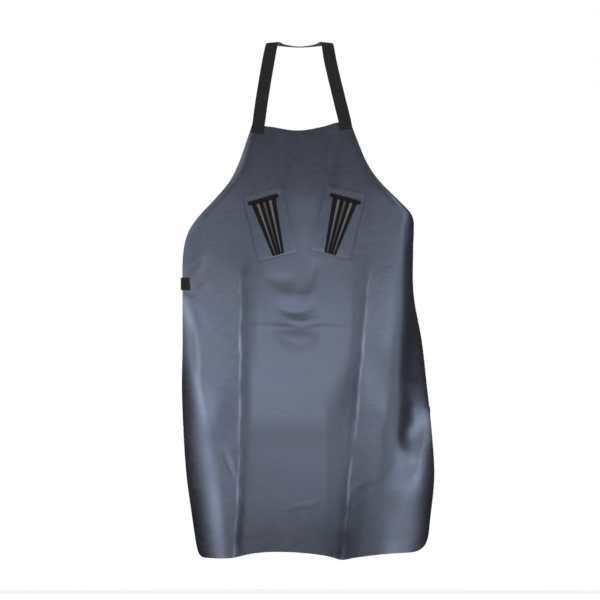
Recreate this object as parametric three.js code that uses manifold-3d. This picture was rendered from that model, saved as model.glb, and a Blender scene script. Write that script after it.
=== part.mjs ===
// Hoof trimming apron in the shape it takes on its wearer: one sheet of coated cloth with a bib, two ribbed
// knife sheaths on sewn patches, a webbing strap round the neck and a webbing belt round the back.
// Millimetres, +Z up, the wearer faces -Y. The origin is the neck strap's seat at the nape.

import * as THREE from "three";
import { mergeVertices } from "three/addons/utils/BufferGeometryUtils.js";
import Module from "manifold-3d";

// Driving dimensions
const CLOTH_THICK = 1.6;
const PATCH_THICK = 1.4;
const WEBBING = { width: 30, thick: 1.8 };
const SEAT_GAP = 0.4;
const CREST_Z = 10;
const WAIST_DROP = 573;
const GRID = { rows: 46, rollSteps: 6, panelSteps: 9, middleSteps: 16 };
const CORNER_RADIUS = { left: 60, right: 95 };

const PATCH = {
  width: 106,
  height: 171,
  tilt: 13.7,
  steps: 8,
  centres: { left: { x: -71, drop: 430 }, right: { x: 91, drop: 426 } },
};

const SHEATH = {
  length: 138,
  tilt: 15.6,
  lip: { height: 8, halfWidth: 37.5, depth: 19, step: 0.3 },
  mouth: { halfWidth: 30, depth: 16 },
  foot: { halfWidth: 14, depth: 10 },
  wall: 2,
  floor: 4,
  ribs: [-0.5, 0.02, 0.54],
  ribHalfWidth: 0.13,
  ribHeight: 3,
  mouths: { left: { x: -88, drop: 371 }, right: { x: 108, drop: 369 } },
};

const BUCKLE = { length: 58, height: 40, thick: 9, corner: 7, slotDepth: 12, slotPlay: 0.4, y: 42 };

// The sheet's silhouette from the front: its left and right edge at each drop below the strap's crest
const OUTLINE = {
  columns: ["drop", "left", "right"],
  rows: [
    [186, -110, 118],
    [234, -126, 136],
    [295, -148, 163],
    [333, -168, 191],
    [371, -200, 229],
    [406, -233, 262],
    [423, -247, 269],
    [446, -262, 270],
    [484, -274, 269],
    [597, -278, 270],
    [710, -278, 290],
    [824, -280, 303],
    [937, -276, 314],
    [1031, -269, 319],
    [1126, -256, 310],
    [1180, -248, 304],
    [1222, -240, 297],
  ],
};

// The bib's top edge and the hem, as drops across the sheet
const TOP_EDGE = {
  columns: ["x", "drop"],
  rows: [
    [-115, 197],
    [-70, 201],
    [-5, 210],
    [57, 200],
    [85, 192],
    [122, 187],
  ],
};
const HEM = {
  columns: ["x", "drop"],
  rows: [
    [-240, 1221],
    [-165, 1221],
    [-113, 1210],
    [-60, 1206],
    [30, 1211],
    [72, 1218],
    [99, 1225],
    [130, 1220],
    [200, 1212],
    [290, 1208],
  ],
};

// The line of the chest and skirt seen from the side, and the slope of each side panel
const PROFILE = {
  columns: ["drop", "y", "left", "right"],
  rows: [
    [186, -150, 0.06, 0.06],
    [270, -174, 0.08, 0.08],
    [350, -188, 0.12, 0.12],
    [430, -193, 0.18, 0.18],
    [500, -196, 0.27, 0.27],
    [573, -200, 0.35, 0.35],
    [640, -203, 0.39, 0.39],
    [800, -206, 0.42, 0.42],
    [900, -206, 0.41, 0.39],
    [1030, -203, 0.4, 0.25],
    [1130, -196, 0.4, 0.23],
    [1222, -185, 0.4, 0.22],
  ],
};

// Where the sheet bends from its middle into the side panels, and how round each bend is
const BENDS = {
  columns: ["drop", "left", "right", "leftRound", "rightRound"],
  rows: [
    [186, -60, 80, 90, 90],
    [420, -115, 135, 80, 80],
    [500, -124, 140, 40, 40],
    [573, -127, 134, 16, 16],
    [729, -127, 127, 11, 12],
    [894, -128, 92, 11, 36],
    [1036, -131, 99, 12, 30],
    [1154, -140, 99, 14, 30],
    [1222, -144, 95, 14, 30],
  ],
};

// The two packing creases beside the bends
const CREASES = {
  columns: ["drop", "left", "right"],
  rows: [
    [186, -60, 80],
    [420, -122, 142],
    [522, -139, 165],
    [590, -140, 157],
    [640, -140, 153],
    [894, -142, 131],
    [1065, -146, 118],
    [1222, -155, 102],
  ],
};

// The step where the cloth leaves the right hip: its place, half width and depth
const HIP = {
  columns: ["drop", "x", "reach", "depth"],
  rows: [
    [330, 262, 12, 0],
    [390, 262, 12, 2],
    [440, 259, 14, 40],
    [520, 257, 15, 54],
    [640, 255, 17, 58],
    [729, 251, 20, 64],
    [800, 249, 22, 66],
    [850, 250, 24, 66],
    [894, 247, 25, 60],
    [930, 244, 26, 50],
    [965, 246, 30, 40],
    [1001, 245, 34, 29],
    [1040, 237, 37, 21],
    [1110, 227, 43, 17],
    [1180, 220, 48, 18],
  ],
};

// How the sheet's side edges roll back: the roll's width and depth, and the angle it ends at
const LEFT_ROLL = {
  columns: ["drop", "width", "depth", "turn"],
  rows: [
    [186, 22, 6, 40],
    [446, 24, 150, 9],
    [597, 24, 150, 8],
    [729, 46, 66, 44],
    [812, 50, 60, 70],
    [894, 64, 66, 92],
    [960, 73, 71, 97],
    [1036, 82, 76, 98],
    [1130, 80, 75, 98],
    [1222, 72, 72, 98],
  ],
};
const RIGHT_ROLL = {
  columns: ["drop", "width", "depth", "turn"],
  rows: [
    [186, 22, 6, 40],
    [371, 24, 14, 60],
    [406, 24, 20, 80],
    [440, 26, 28, 100],
    [520, 30, 36, 135],
    [573, 30, 36, 140],
    [640, 32, 38, 122],
    [690, 36, 44, 102],
    [729, 42, 54, 92],
    [800, 44, 56, 90],
    [840, 38, 46, 76],
    [880, 25, 26, 46],
    [930, 25, 28, 47],
    [965, 34, 40, 68],
    [1001, 50, 56, 86],
    [1036, 66, 70, 95],
    [1130, 96, 80, 98],
    [1222, 98, 80, 98],
  ],
};

// Soft folds of the cloth: a line from one point to another, bowed down by its sag, a half width and a height
const FOLDS = {
  columns: ["x1", "drop1", "x2", "drop2", "sag", "spread", "height"],
  rows: [
    [-72, 590, 46, 588, 13, 15, 1.5],
    [-62, 622, 42, 618, 16, 9, -1.5],
    [-40, 650, 50, 648, 12, 6, 1.1],
    [-52, 702, 46, 702, 14, 22, 1.2],
    [38, 510, 4, 618, 0, 13, -2],
    [-88, 554, -2, 560, 8, 15, -1.4],
    [-262, 548, -216, 486, 0, 16, -1.6],
    [-262, 580, -196, 520, 0, 18, 1],
    [78, 205, 82, 350, 0, 12, -4],
    [-44, 215, -38, 350, 0, 14, -2.5],
  ],
};

// The neck strap's way from the bib to the nape: drop, both sides' x, y, and where its face looks
const NECK = {
  columns: ["drop", "left", "right", "y", "lean", "splay"],
  rows: [
    [139, -90.5, 94, -125, 15, 4],
    [45, -75, 72, -94, 28, 5],
    [9, -68, 66, -66, 56, 8],
    [0, -65, 63, -46, 80, 8],
    [4, -50, 49, -15, 93, 5],
  ],
};
const NECK_ENDS = {
  left: [{ x: -101.5, drop: 217 }, { x: -98, drop: 195 }],
  right: [{ x: 109.5, drop: 208 }, { x: 105.5, drop: 186 }],
};
const NAPE_LEAN = 91;
const NECK_STEPS = 4;

// The belt's way behind the wearer, from each edge of the apron to the buckle
const BELTS = {
  left: {
    columns: ["x", "y"],
    rows: [
      [-244, -74],
      [-160, 6],
      [-78, 36],
    ],
  },
  right: {
    columns: ["x", "y"],
    rows: [
      [254, -46],
      [214, -6],
      [150, 22],
      [78, 38],
    ],
  },
};
const BELT_SEWN_FROM = { left: 0.3, right: 0.84 };
const BELT_WRAPS = { left: true, right: false };
const BELT_STEPS = 20;
const SEWN_STEPS = 3;

const COLOURS = { cloth: 0x5f6672, webbing: 0x242428, rubber: 0x28262a, buckle: 0x1f1f22 };

// Table and number helpers
const radians = THREE.MathUtils.degToRad;

function curveOf(table) {
  const [first, ...names] = table.columns;
  const places = table.rows.map((row) => row[0]);
  const values = table.rows.flatMap((row) => row.slice(1));
  const spline = new THREE.CubicInterpolant(places, values, names.length);
  return (place) => {
    const found = spline.evaluate(place);
    const entries = names.map((name, i) => [name, found[i]]);
    return Object.fromEntries([[first, place], ...entries]);
  };
}

function rowsOf(table) {
  return table.rows.map((row) => Object.fromEntries(table.columns.map((name, i) => [name, row[i]])));
}

const ramp = (distance, round) => (distance + Math.hypot(distance, round)) / 2;
const spread = (count) => Array.from({ length: count + 1 }, (_, i) => i / count);

// The sheet's front face
const outlineAt = curveOf(OUTLINE);
const topEdgeAt = curveOf(TOP_EDGE);
const hemAt = curveOf(HEM);
const profileAt = curveOf(PROFILE);
const bendsAt = curveOf(BENDS);
const creasesAt = curveOf(CREASES);
const hipAt = curveOf(HIP);
const rollAt = { left: curveOf(LEFT_ROLL), right: curveOf(RIGHT_ROLL) };
const folds = rowsOf(FOLDS);

function foldHeight(fold, x, drop) {
  const along = new THREE.Vector2(fold.x2 - fold.x1, fold.drop2 - fold.drop1);
  const from = new THREE.Vector2(x - fold.x1, drop - fold.drop1);
  const share = from.dot(along) / along.lengthSq();
  if (share <= 0 || share >= 1) {
    return 0;
  }
  const bow = 4 * fold.sag * share * (1 - share);
  const off = along.cross(from) / along.length() - bow;
  return fold.height * Math.sin(Math.PI * share) * Math.exp(-((off / fold.spread) ** 2));
}

function depthAt(x, drop) {
  const profile = profileAt(drop);
  const bend = bendsAt(drop);
  const hip = hipAt(drop);
  const leftPanel = profile.left * ramp(bend.left - x, bend.leftRound);
  const rightPanel = profile.right * ramp(x - bend.right, bend.rightRound);
  const hipStep = hip.depth * (1 + Math.tanh((x - hip.x) / hip.reach)) / 2;
  const relief = folds.reduce((sum, fold) => sum + foldHeight(fold, x, drop), 0);
  return profile.y + leftPanel + rightPanel + hipStep - relief;
}

function facePoint(x, drop, lift = 0) {
  return new THREE.Vector3(x, depthAt(x, drop) - lift, CREST_Z - drop);
}

function faceNormal(x, drop) {
  const across = (depthAt(x + 1, drop) - depthAt(x - 1, drop)) / 2;
  const down = (depthAt(x, drop + 1) - depthAt(x, drop - 1)) / 2;
  return new THREE.Vector3(across, -1, -down).normalize();
}

// A point on a side's rolled edge, from 0 where the roll starts to 1 at the cut edge
function rollPoint(side, share, drop) {
  const roll = rollAt[side](drop);
  const edge = outlineAt(drop)[side];
  const turn = radians(roll.turn);
  const reach = Math.sin(Math.min(turn, Math.PI / 2));
  const inward = roll.width * (1 - Math.sin(turn * share) / reach);
  const x = edge - Math.sign(edge) * inward;
  return facePoint(x, drop, -roll.depth * (1 - Math.cos(turn * share)));
}

// Each column of the sheet's grid is a place between two lines that run from the bib to the hem
function columnPlaces() {
  const roll = spread(GRID.rollSteps);
  const panel = spread(GRID.panelSteps);
  const middle = spread(GRID.middleSteps);
  return [
    ...roll.slice(0, -1).map((share) => ({ zone: "left", share: 1 - share })),
    ...panel.slice(0, -1).map((share) => ({ zone: "leftPanel", share })),
    ...middle.slice(0, -1).map((share) => ({ zone: "middle", share })),
    ...panel.slice(0, -1).map((share) => ({ zone: "rightPanel", share })),
    ...roll.map((share) => ({ zone: "right", share })),
  ];
}

function sheetPoint({ zone, share }, drop) {
  if (zone === "left" || zone === "right") {
    return rollPoint(zone, share, drop);
  }
  const outline = outlineAt(drop);
  const crease = creasesAt(drop);
  const ends = {
    leftPanel: [outline.left + rollAt.left(drop).width, crease.left],
    middle: [crease.left, crease.right],
    rightPanel: [crease.right, outline.right - rollAt.right(drop).width],
  }[zone];
  return facePoint(THREE.MathUtils.lerp(...ends, share), drop);
}

// How far the hem's round corner lifts a column, by its distance from the cut edge along the cloth
function cornerRise({ zone, share }, drop) {
  if (!(zone in CORNER_RADIUS)) {
    return 0;
  }
  const roll = rollAt[zone](drop);
  const radius = CORNER_RADIUS[zone];
  const length = radians(roll.turn) * (roll.width + roll.depth) / 2;
  const inset = Math.min((1 - share) * length, radius);
  return radius - Math.sqrt(radius ** 2 - (radius - inset) ** 2);
}

// A wall of the given thickness behind a grid of face points, closed round its rim
function wall(face, thick) {
  const rows = face.length;
  const columns = face[0].length;
  const back = face.map((line, r) => line.map((point, c) => {
    const across = line[Math.min(c + 1, columns - 1)].clone().sub(line[Math.max(c - 1, 0)]);
    const down = face[Math.min(r + 1, rows - 1)][c].clone().sub(face[Math.max(r - 1, 0)][c]);
    return point.clone().addScaledVector(across.cross(down).normalize(), thick);
  }));
  const points = [...face.flat(), ...back.flat()];
  const behind = rows * columns;
  const at = (r, c) => r * columns + c;
  const faces = [];
  const rim = (a, b) => faces.push([b, a, a + behind], [b, a + behind, b + behind]);
  for (let r = 0; r + 1 < rows; r++) {
    for (let c = 0; c + 1 < columns; c++) {
      const [a, b, d, e] = [at(r, c), at(r, c + 1), at(r + 1, c), at(r + 1, c + 1)];
      faces.push([a, d, b], [b, d, e]);
      faces.push([a + behind, b + behind, d + behind], [b + behind, e + behind, d + behind]);
    }
    rim(at(r, 0), at(r + 1, 0));
    rim(at(r + 1, columns - 1), at(r, columns - 1));
  }
  for (let c = 0; c + 1 < columns; c++) {
    rim(at(0, c + 1), at(0, c));
    rim(at(rows - 1, c), at(rows - 1, c + 1));
  }
  return geometryOf(points, faces);
}

function geometryOf(points, faces) {
  const geometry = new THREE.BufferGeometry();
  geometry.setAttribute("position", new THREE.Float32BufferAttribute(points.flatMap((p) => p.toArray()), 3));
  geometry.setIndex(faces.flat());
  geometry.computeVertexNormals();
  return geometry;
}

// A solid lofted through closed rings of equal count, with a flat cap on the first and the last one
function loft(rings) {
  const count = rings[0].length;
  const points = rings.flat();
  const faces = [];
  const centre = (ring) => ring.reduce((sum, p) => sum.add(p), new THREE.Vector3()).divideScalar(count);
  const heart = points.push(centre(rings[0])) - 1;
  const tail = points.push(centre(rings.at(-1))) - 1;
  const last = (rings.length - 1) * count;
  for (let i = 0; i < count; i++) {
    const next = (i + 1) % count;
    faces.push([heart, next, i], [tail, last + i, last + next]);
    for (let ring = 0; ring < last; ring += count) {
      faces.push([ring + i, ring + next, ring + count + i]);
      faces.push([ring + next, ring + count + next, ring + count + i]);
    }
  }
  return geometryOf(points, faces);
}

// A flat webbing band along stations that each give its middle, the way its width runs and its outer face
function band(stations) {
  const half = WEBBING.width / 2;
  const lift = WEBBING.thick / 2;
  const corners = [[-1, -1], [1, -1], [1, 1], [-1, 1]];
  return loft(stations.map(({ middle, width, normal }) => corners.map(([aside, out]) =>
    middle.clone().addScaledVector(width, aside * half).addScaledVector(normal, out * lift))));
}

// The outward normal of the sheet at a place on one of its rolled edges
function normalAt(place, drop) {
  const nudge = 0.02;
  const aside = { ...place, share: Math.max(place.share - nudge, 0) };
  const ahead = { ...place, share: Math.min(place.share + nudge, 1) };
  const across = sheetPoint(ahead, drop).sub(sheetPoint(aside, drop));
  const up = sheetPoint(place, drop - 1).sub(sheetPoint(place, drop + 1));
  const normal = across.cross(up).normalize();
  return place.zone === "left" ? normal.negate() : normal;
}

// Pieces
function apronBody() {
  const places = columnPlaces();
  const top = places.map((place) => topEdgeAt(sheetPoint(place, TOP_EDGE.rows[0][1]).x).drop);
  const lowest = OUTLINE.rows.at(-1)[0];
  const hem = places.map((place) => hemAt(sheetPoint(place, lowest).x).drop - cornerRise(place, lowest));
  const face = spread(GRID.rows).map((share) => places.map((place, c) =>
    sheetPoint(place, THREE.MathUtils.lerp(top[c], hem[c], share))));
  return wall(face, CLOTH_THICK);
}

// A point of a tilted piece on the chest: a across and b down from its own zero, lifted off the sheet
function chestPoint(side, zero, tilt, a, b, lift) {
  const sign = side === "left" ? -1 : 1;
  const [sine, cosine] = [Math.sin(radians(tilt)), Math.cos(radians(tilt))];
  return facePoint(zero.x + a * cosine - sign * b * sine, zero.drop + sign * a * sine + b * cosine, lift);
}

function pocketPatch(side) {
  const lift = SEAT_GAP + PATCH_THICK;
  const face = spread(PATCH.steps).map((down) => spread(PATCH.steps).map((across) => {
    const a = (across - 0.5) * PATCH.width;
    const b = (down - 0.5) * PATCH.height;
    return chestPoint(side, PATCH.centres[side], PATCH.tilt, a, b, lift);
  }));
  return wall(face, PATCH_THICK);
}

// One ring round a sheath, from its back's left corner: the front face carries the three ribs
function sheathRing(side, down, halfWidth, back, depth, ribHeight) {
  const base = 2 * SEAT_GAP + PATCH_THICK;
  const low = THREE.MathUtils.lerp(back, depth, 0.45);
  const high = THREE.MathUtils.lerp(back, depth, 0.55);
  const [backCorner, frontCorner] = [0.94, 0.9];
  const ribPoints = SHEATH.ribs.flatMap((rib) => [-1, -0.6, 0, 0.6, 1].map((step) => ({
    a: rib + step * SHEATH.ribHalfWidth,
    n: depth + ribHeight * Math.sqrt(1 - step ** 2),
  })));
  const outline = [
    ...spread(4).map((share) => ({ a: THREE.MathUtils.lerp(-backCorner, backCorner, share), n: back })),
    { a: 1, n: low },
    { a: 1, n: high },
    { a: frontCorner, n: depth },
    ...ribPoints.reverse(),
    { a: -frontCorner, n: depth },
    { a: -1, n: high },
    { a: -1, n: low },
  ];
  const zero = SHEATH.mouths[side];
  return outline.map(({ a, n }) => chestPoint(side, zero, SHEATH.tilt, a * halfWidth, down, base + n));
}

function knifeSheath(side) {
  const { lip, mouth, foot, wall: skin, floor, length, ribHeight } = SHEATH;
  const taper = (down, key) => {
    const share = (down - lip.height) / (length - lip.height);
    return THREE.MathUtils.lerp(mouth[key], foot[key], Math.max(share, 0));
  };
  const bodyRing = (down) =>
    sheathRing(side, down, taper(down, "halfWidth"), 0, taper(down, "depth"), ribHeight);
  const hollowRing = (down) =>
    sheathRing(side, down, taper(down, "halfWidth") - skin, skin, taper(down, "depth") - skin, 0);
  const shoulder = lip.height + lip.step;
  const stations = spread(4).map((share) => THREE.MathUtils.lerp(shoulder, length, share));
  const wells = spread(3).map((share) => (length - floor) * share);
  return loft([
    ...wells.reverse().map(hollowRing),
    sheathRing(side, 0, lip.halfWidth, 0, lip.depth, 0),
    sheathRing(side, lip.height, lip.halfWidth, 0, lip.depth, 0),
    ...stations.map(bodyRing),
  ]);
}

function neckStrap() {
  const lift = SEAT_GAP + WEBBING.thick / 2;
  const aim = (lean, splay, sign) => {
    const [pitch, aside] = [radians(lean), radians(splay)];
    return new THREE.Vector3(
      sign * Math.sin(aside), -Math.cos(pitch) * Math.cos(aside), Math.sin(pitch) * Math.cos(aside));
  };
  const half = (side, sign) => {
    const [end, edge] = NECK_ENDS[side];
    const sewn = spread(2).map((share) => {
      const x = THREE.MathUtils.lerp(end.x, edge.x, share);
      const drop = THREE.MathUtils.lerp(end.drop, edge.drop, share);
      const normal = faceNormal(x, drop);
      return { middle: facePoint(x, drop).addScaledVector(normal, lift), normal };
    });
    return [
      ...sewn,
      ...rowsOf(NECK).map((row) => ({
        middle: new THREE.Vector3(row[side], row.y, CREST_Z - row.drop),
        normal: aim(row.lean, row.splay, sign),
      })),
    ];
  };
  const napeNormal = aim(NAPE_LEAN, 0, 1);
  const nape = { middle: napeNormal.clone().multiplyScalar(WEBBING.thick / 2), normal: napeNormal };
  const route = [...half("left", -1), nape, ...half("right", 1).reverse()];
  const path = new THREE.CatmullRomCurve3(route.map((stop) => stop.middle));
  const facing = new THREE.CatmullRomCurve3(route.map((stop) => stop.normal));
  return band(spread((route.length - 1) * NECK_STEPS).map((t) => {
    const normal = facing.getPoint(t).normalize();
    const tangent = path.getTangent(t);
    const width = normal.clone().cross(tangent).normalize();
    return { middle: path.getPoint(t), width, normal: tangent.clone().cross(width).normalize() };
  }));
}

// The belt half: sewn on the sheet's outer face, on round behind the wearer and into the buckle
function waistStrap(side) {
  const sign = side === "left" ? -1 : 1;
  const lift = SEAT_GAP + WEBBING.thick / 2;
  const upright = new THREE.Vector3(0, 0, 1);
  const sewn = spread(SEWN_STEPS).map((step) => {
    const place = { zone: side, share: THREE.MathUtils.lerp(BELT_SEWN_FROM[side], 1, step) };
    const { normal, most } = beltSeat(place);
    return sheetPoint(place, WAIST_DROP).addScaledVector(normal, lift + most);
  });
  const wrap = BELT_WRAPS[side] ? edgeWrap(side, sewn, lift) : [];
  const held = [...sewn, ...wrap];
  const level = CREST_Z - WAIST_DROP;
  const behind = rowsOf(BELTS[side]).map((row) => new THREE.Vector3(row.x, row.y, level));
  const mouth = BUCKLE.length / 2 + BUCKLE.slotPlay;
  const ends = [mouth, mouth - BUCKLE.slotDepth].map((x) => new THREE.Vector3(sign * x, BUCKLE.y, level));
  const free = new THREE.CatmullRomCurve3([held.at(-1), ...behind, ...ends]);
  const route = [...held, ...free.getPoints(BELT_STEPS).slice(1)];
  return band(route.map((middle, i) => {
    const after = route[Math.min(i + 1, route.length - 1)];
    const tangent = after.clone().sub(route[Math.max(i - 1, 0)]).normalize();
    return { middle, width: upright, normal: tangent.clone().cross(upright).normalize() };
  }));
}

// A rolled edge's level normal at the waist, and the least and most that the cloth there stands out
function beltSeat(place) {
  const normal = normalAt(place, WAIST_DROP).setZ(0).normalize();
  const middle = sheetPoint(place, WAIST_DROP);
  const rises = [-WEBBING.width / 2, 0, WEBBING.width / 2].map((below) =>
    sheetPoint(place, WAIST_DROP + below).sub(middle).dot(normal));
  return { normal, least: Math.min(...rises), most: Math.max(...rises) };
}

// The belt's half turn round the cut edge, from the outer face to the inner one
function edgeWrap(side, sewn, lift) {
  const edge = sewn.at(-1);
  const onward = edge.clone().sub(sewn.at(-2)).normalize();
  const { normal, least, most } = beltSeat({ zone: side, share: 1 });
  const inward = normal.negate();
  const radius = lift + (CLOTH_THICK + most - least) / 2;
  return [45, 90, 135, 180].map(radians).map((angle) => edge.clone()
    .addScaledVector(onward, radius * Math.sin(angle) + SEAT_GAP)
    .addScaledVector(inward, radius * (1 - Math.cos(angle))));
}

const wasm = await Module();
wasm.setup();

function solidOf(geometry) {
  const bare = geometry.clone();
  bare.deleteAttribute("normal");
  bare.deleteAttribute("uv");
  const merged = mergeVertices(bare);
  const vertProperties = new Float32Array(merged.attributes.position.array);
  const triVerts = new Uint32Array(merged.index.array);
  return new wasm.Manifold(new wasm.Mesh({ numProp: 3, vertProperties, triVerts }));
}

function geometryOfSolid(solid) {
  const mesh = solid.getMesh();
  const geometry = new THREE.BufferGeometry();
  geometry.setAttribute("position", new THREE.BufferAttribute(mesh.vertProperties, 3));
  geometry.setIndex(new THREE.BufferAttribute(mesh.triVerts, 1));
  geometry.computeVertexNormals();
  return geometry;
}

// The clasp is a rounded plate with a pocket at each end that a belt end sits in
function waistBuckle() {
  const { length, height, thick, corner, slotDepth, slotPlay } = BUCKLE;
  const [right, top] = [length / 2, height / 2];
  const plate = new THREE.Shape();
  plate.moveTo(right - corner, -top);
  plate.absarc(right - corner, -top + corner, corner, -Math.PI / 2, 0);
  plate.absarc(right - corner, top - corner, corner, 0, Math.PI / 2);
  plate.absarc(-right + corner, top - corner, corner, Math.PI / 2, Math.PI);
  plate.absarc(-right + corner, -top + corner, corner, Math.PI, 1.5 * Math.PI);
  const body = new THREE.ExtrudeGeometry(plate, { depth: thick, bevelEnabled: false, curveSegments: 6 });
  body.translate(0, 0, -thick / 2).rotateX(Math.PI / 2);
  const [slotThick, slotHeight] = [WEBBING.thick, WEBBING.width].map((size) => size + 2 * slotPlay);
  const slot = new THREE.BoxGeometry(2 * slotDepth, slotThick, slotHeight);
  const slots = [-1, 1].map((sign) => solidOf(slot.clone().translate(sign * right, 0, 0)));
  const cut = slots.reduce((solid, pocket) => solid.subtract(pocket), solidOf(body));
  return geometryOfSolid(cut).translate(0, BUCKLE.y, CREST_Z - WAIST_DROP);
}

// The part
const apron = new THREE.Group();
apron.name = "hoof_trimming_apron";

const materials = {
  cloth: () => new THREE.MeshStandardMaterial({ color: COLOURS.cloth, roughness: 0.5, metalness: 0 }),
  webbing: () => new THREE.MeshStandardMaterial({ color: COLOURS.webbing, roughness: 0.85, metalness: 0 }),
  rubber: () => new THREE.MeshStandardMaterial({ color: COLOURS.rubber, roughness: 0.45, metalness: 0 }),
  buckle: () => new THREE.MeshStandardMaterial({ color: COLOURS.buckle, roughness: 0.4, metalness: 0 }),
};

function addPiece(name, geometry, material) {
  const mesh = new THREE.Mesh(geometry, materials[material]());
  mesh.name = name;
  apron.add(mesh);
}

addPiece("apron_body", apronBody(), "cloth");
for (const side of ["left", "right"]) {
  addPiece(`pocket_patch_${side}`, pocketPatch(side), "cloth");
  addPiece(`knife_sheath_${side}`, knifeSheath(side), "rubber");
  addPiece(`waist_strap_${side}`, waistStrap(side), "webbing");
}
addPiece("neck_strap", neckStrap(), "webbing");
addPiece("waist_buckle", waistBuckle(), "buckle");

export default apron;
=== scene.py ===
"""Hoof trimming apron in its worn shape: coated cloth, patches with knife sheaths, webbing and a clasp.

The tables hold millimetres in the part's frame: x across, y towards the wearer's back, and drop, the depth
below the top of the neck strap. The wearer faces -Y. Meshes are in metres.
"""

import math

import bmesh
import bpy
import numpy as np
from bpy.props import FloatProperty, FloatVectorProperty, PointerProperty
from bpy.types import Operator, Panel, PropertyGroup
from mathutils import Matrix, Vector


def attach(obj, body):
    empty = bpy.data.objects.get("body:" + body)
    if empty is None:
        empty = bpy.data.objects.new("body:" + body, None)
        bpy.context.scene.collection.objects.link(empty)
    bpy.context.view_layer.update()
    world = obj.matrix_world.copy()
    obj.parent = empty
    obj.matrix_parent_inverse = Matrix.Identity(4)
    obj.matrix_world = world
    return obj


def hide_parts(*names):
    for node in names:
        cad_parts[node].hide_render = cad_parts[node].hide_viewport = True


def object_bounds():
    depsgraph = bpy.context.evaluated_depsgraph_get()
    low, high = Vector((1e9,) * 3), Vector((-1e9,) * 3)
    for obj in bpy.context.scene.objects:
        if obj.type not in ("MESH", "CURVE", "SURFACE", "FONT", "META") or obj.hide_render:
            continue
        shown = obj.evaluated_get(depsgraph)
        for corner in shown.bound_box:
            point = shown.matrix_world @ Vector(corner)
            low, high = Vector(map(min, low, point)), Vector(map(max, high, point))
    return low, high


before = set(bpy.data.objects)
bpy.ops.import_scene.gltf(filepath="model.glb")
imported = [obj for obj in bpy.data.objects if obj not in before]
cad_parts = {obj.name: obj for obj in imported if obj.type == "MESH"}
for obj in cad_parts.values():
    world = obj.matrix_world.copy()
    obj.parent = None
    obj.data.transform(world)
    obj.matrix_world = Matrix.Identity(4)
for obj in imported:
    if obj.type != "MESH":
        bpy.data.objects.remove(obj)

bl_info = {
    "name": "Hoof trimming apron",
    "version": (1, 0, 0),
    "blender": (4, 5, 0),
    "location": "View3D > Sidebar > Apron",
    "description": "Builds a bib apron for hoof trimming round its packed model",
    "category": "Add Mesh",
}

CAD_BOX = [list(corner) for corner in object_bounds()]
MM = 0.001
SIDES = ("left", "right")


def signed(side):
    return -1 if side == "left" else 1


# Tables of the apron's shape
class Table:
    """Rows of named columns, read on a smooth curve where the first column rises."""

    def __init__(self, names, rows):
        self.rows = np.array(rows, float)
        self.names = names.split()
        self.places = self.rows[:, 0]

    def at(self, name, place):
        """The named column's value at each place, held level past both ends."""
        t, v = self.places, self.rows[:, self.names.index(name)]
        place = np.clip(place, t[0], t[-1])
        after = np.clip(np.searchsorted(t, place, side="right"), 1, len(t) - 1)
        before = after - 1
        ahead = np.where(after < len(t) - 1, np.minimum(after + 1, len(t) - 1), before)
        behind = np.where(before > 0, np.maximum(before - 1, 0), after)
        half = (t[after] - t[before]) / 2
        w_behind = half / (t[before] - t[behind])
        w_ahead = half / (t[ahead] - t[after])
        p = (place - t[before]) / (2 * half)
        return (
            v[behind] * w_behind * (-p**3 + 2 * p**2 - p)
            + v[before] * ((1 + w_behind) * p**3 - (1.5 + 2 * w_behind) * p**2 + (w_behind - 0.5) * p + 1)
            + v[after] * (-(1 + w_ahead) * p**3 + (1.5 + w_ahead) * p**2 + 0.5 * p)
            + v[ahead] * w_ahead * (p**3 - p**2)
        )


# The sheet's silhouette from the front
OUTLINE = Table("drop left right", [
    [186, -110, 118],
    [234, -126, 136],
    [295, -148, 163],
    [333, -168, 191],
    [371, -200, 229],
    [406, -233, 262],
    [423, -247, 269],
    [446, -262, 270],
    [484, -274, 269],
    [597, -278, 270],
    [710, -278, 290],
    [824, -280, 303],
    [937, -276, 314],
    [1031, -269, 319],
    [1126, -256, 310],
    [1180, -248, 304],
    [1222, -240, 297],
])
TOP_EDGE = Table("x drop", [[-115, 197], [-70, 201], [-5, 210], [57, 200], [85, 192], [122, 187]])
HEM = Table("x drop", [
    [-240, 1221],
    [-165, 1221],
    [-113, 1210],
    [-60, 1206],
    [30, 1211],
    [72, 1218],
    [99, 1225],
    [130, 1220],
    [200, 1212],
    [290, 1208],
])
TOP_DROP, HEM_DROP, WAIST_DROP, CREST_Z = 197, 1222, 573, 10

# The chest and skirt seen from the side, and the slope of each side panel
PROFILE = Table("drop y left right", [
    [186, -150, 0.06, 0.06],
    [270, -174, 0.08, 0.08],
    [350, -188, 0.12, 0.12],
    [430, -193, 0.18, 0.18],
    [500, -196, 0.27, 0.27],
    [573, -200, 0.35, 0.35],
    [640, -203, 0.39, 0.39],
    [800, -206, 0.42, 0.42],
    [900, -206, 0.41, 0.39],
    [1030, -203, 0.4, 0.25],
    [1130, -196, 0.4, 0.23],
    [1222, -185, 0.4, 0.22],
])

# Where the sheet bends from its middle into the side panels, and how round each bend is
BENDS = Table("drop left right left_round right_round", [
    [186, -60, 80, 90, 90],
    [420, -115, 135, 80, 80],
    [500, -124, 140, 40, 40],
    [573, -127, 134, 16, 16],
    [729, -127, 127, 11, 12],
    [894, -128, 92, 11, 36],
    [1036, -131, 99, 12, 30],
    [1154, -140, 99, 14, 30],
    [1222, -144, 95, 14, 30],
])

# The two packing creases beside the bends, and the height of their ridges
CREASES = Table("drop left right ridge", [
    [186, -60, 80, 0],
    [420, -122, 142, 0],
    [522, -138, 165, 0.2],
    [590, -138, 157, 0.6],
    [640, -138, 153, 1],
    [894, -140, 131, 1.2],
    [1065, -144, 118, 1.2],
    [1222, -154, 102, 1],
])
# Reaches in millimetres of the creases' ridges and of their wear and painted highlight
RIDGE_REACH, WEAR_AND_HIGHLIGHT_REACH = 4.2, 3.4

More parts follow.
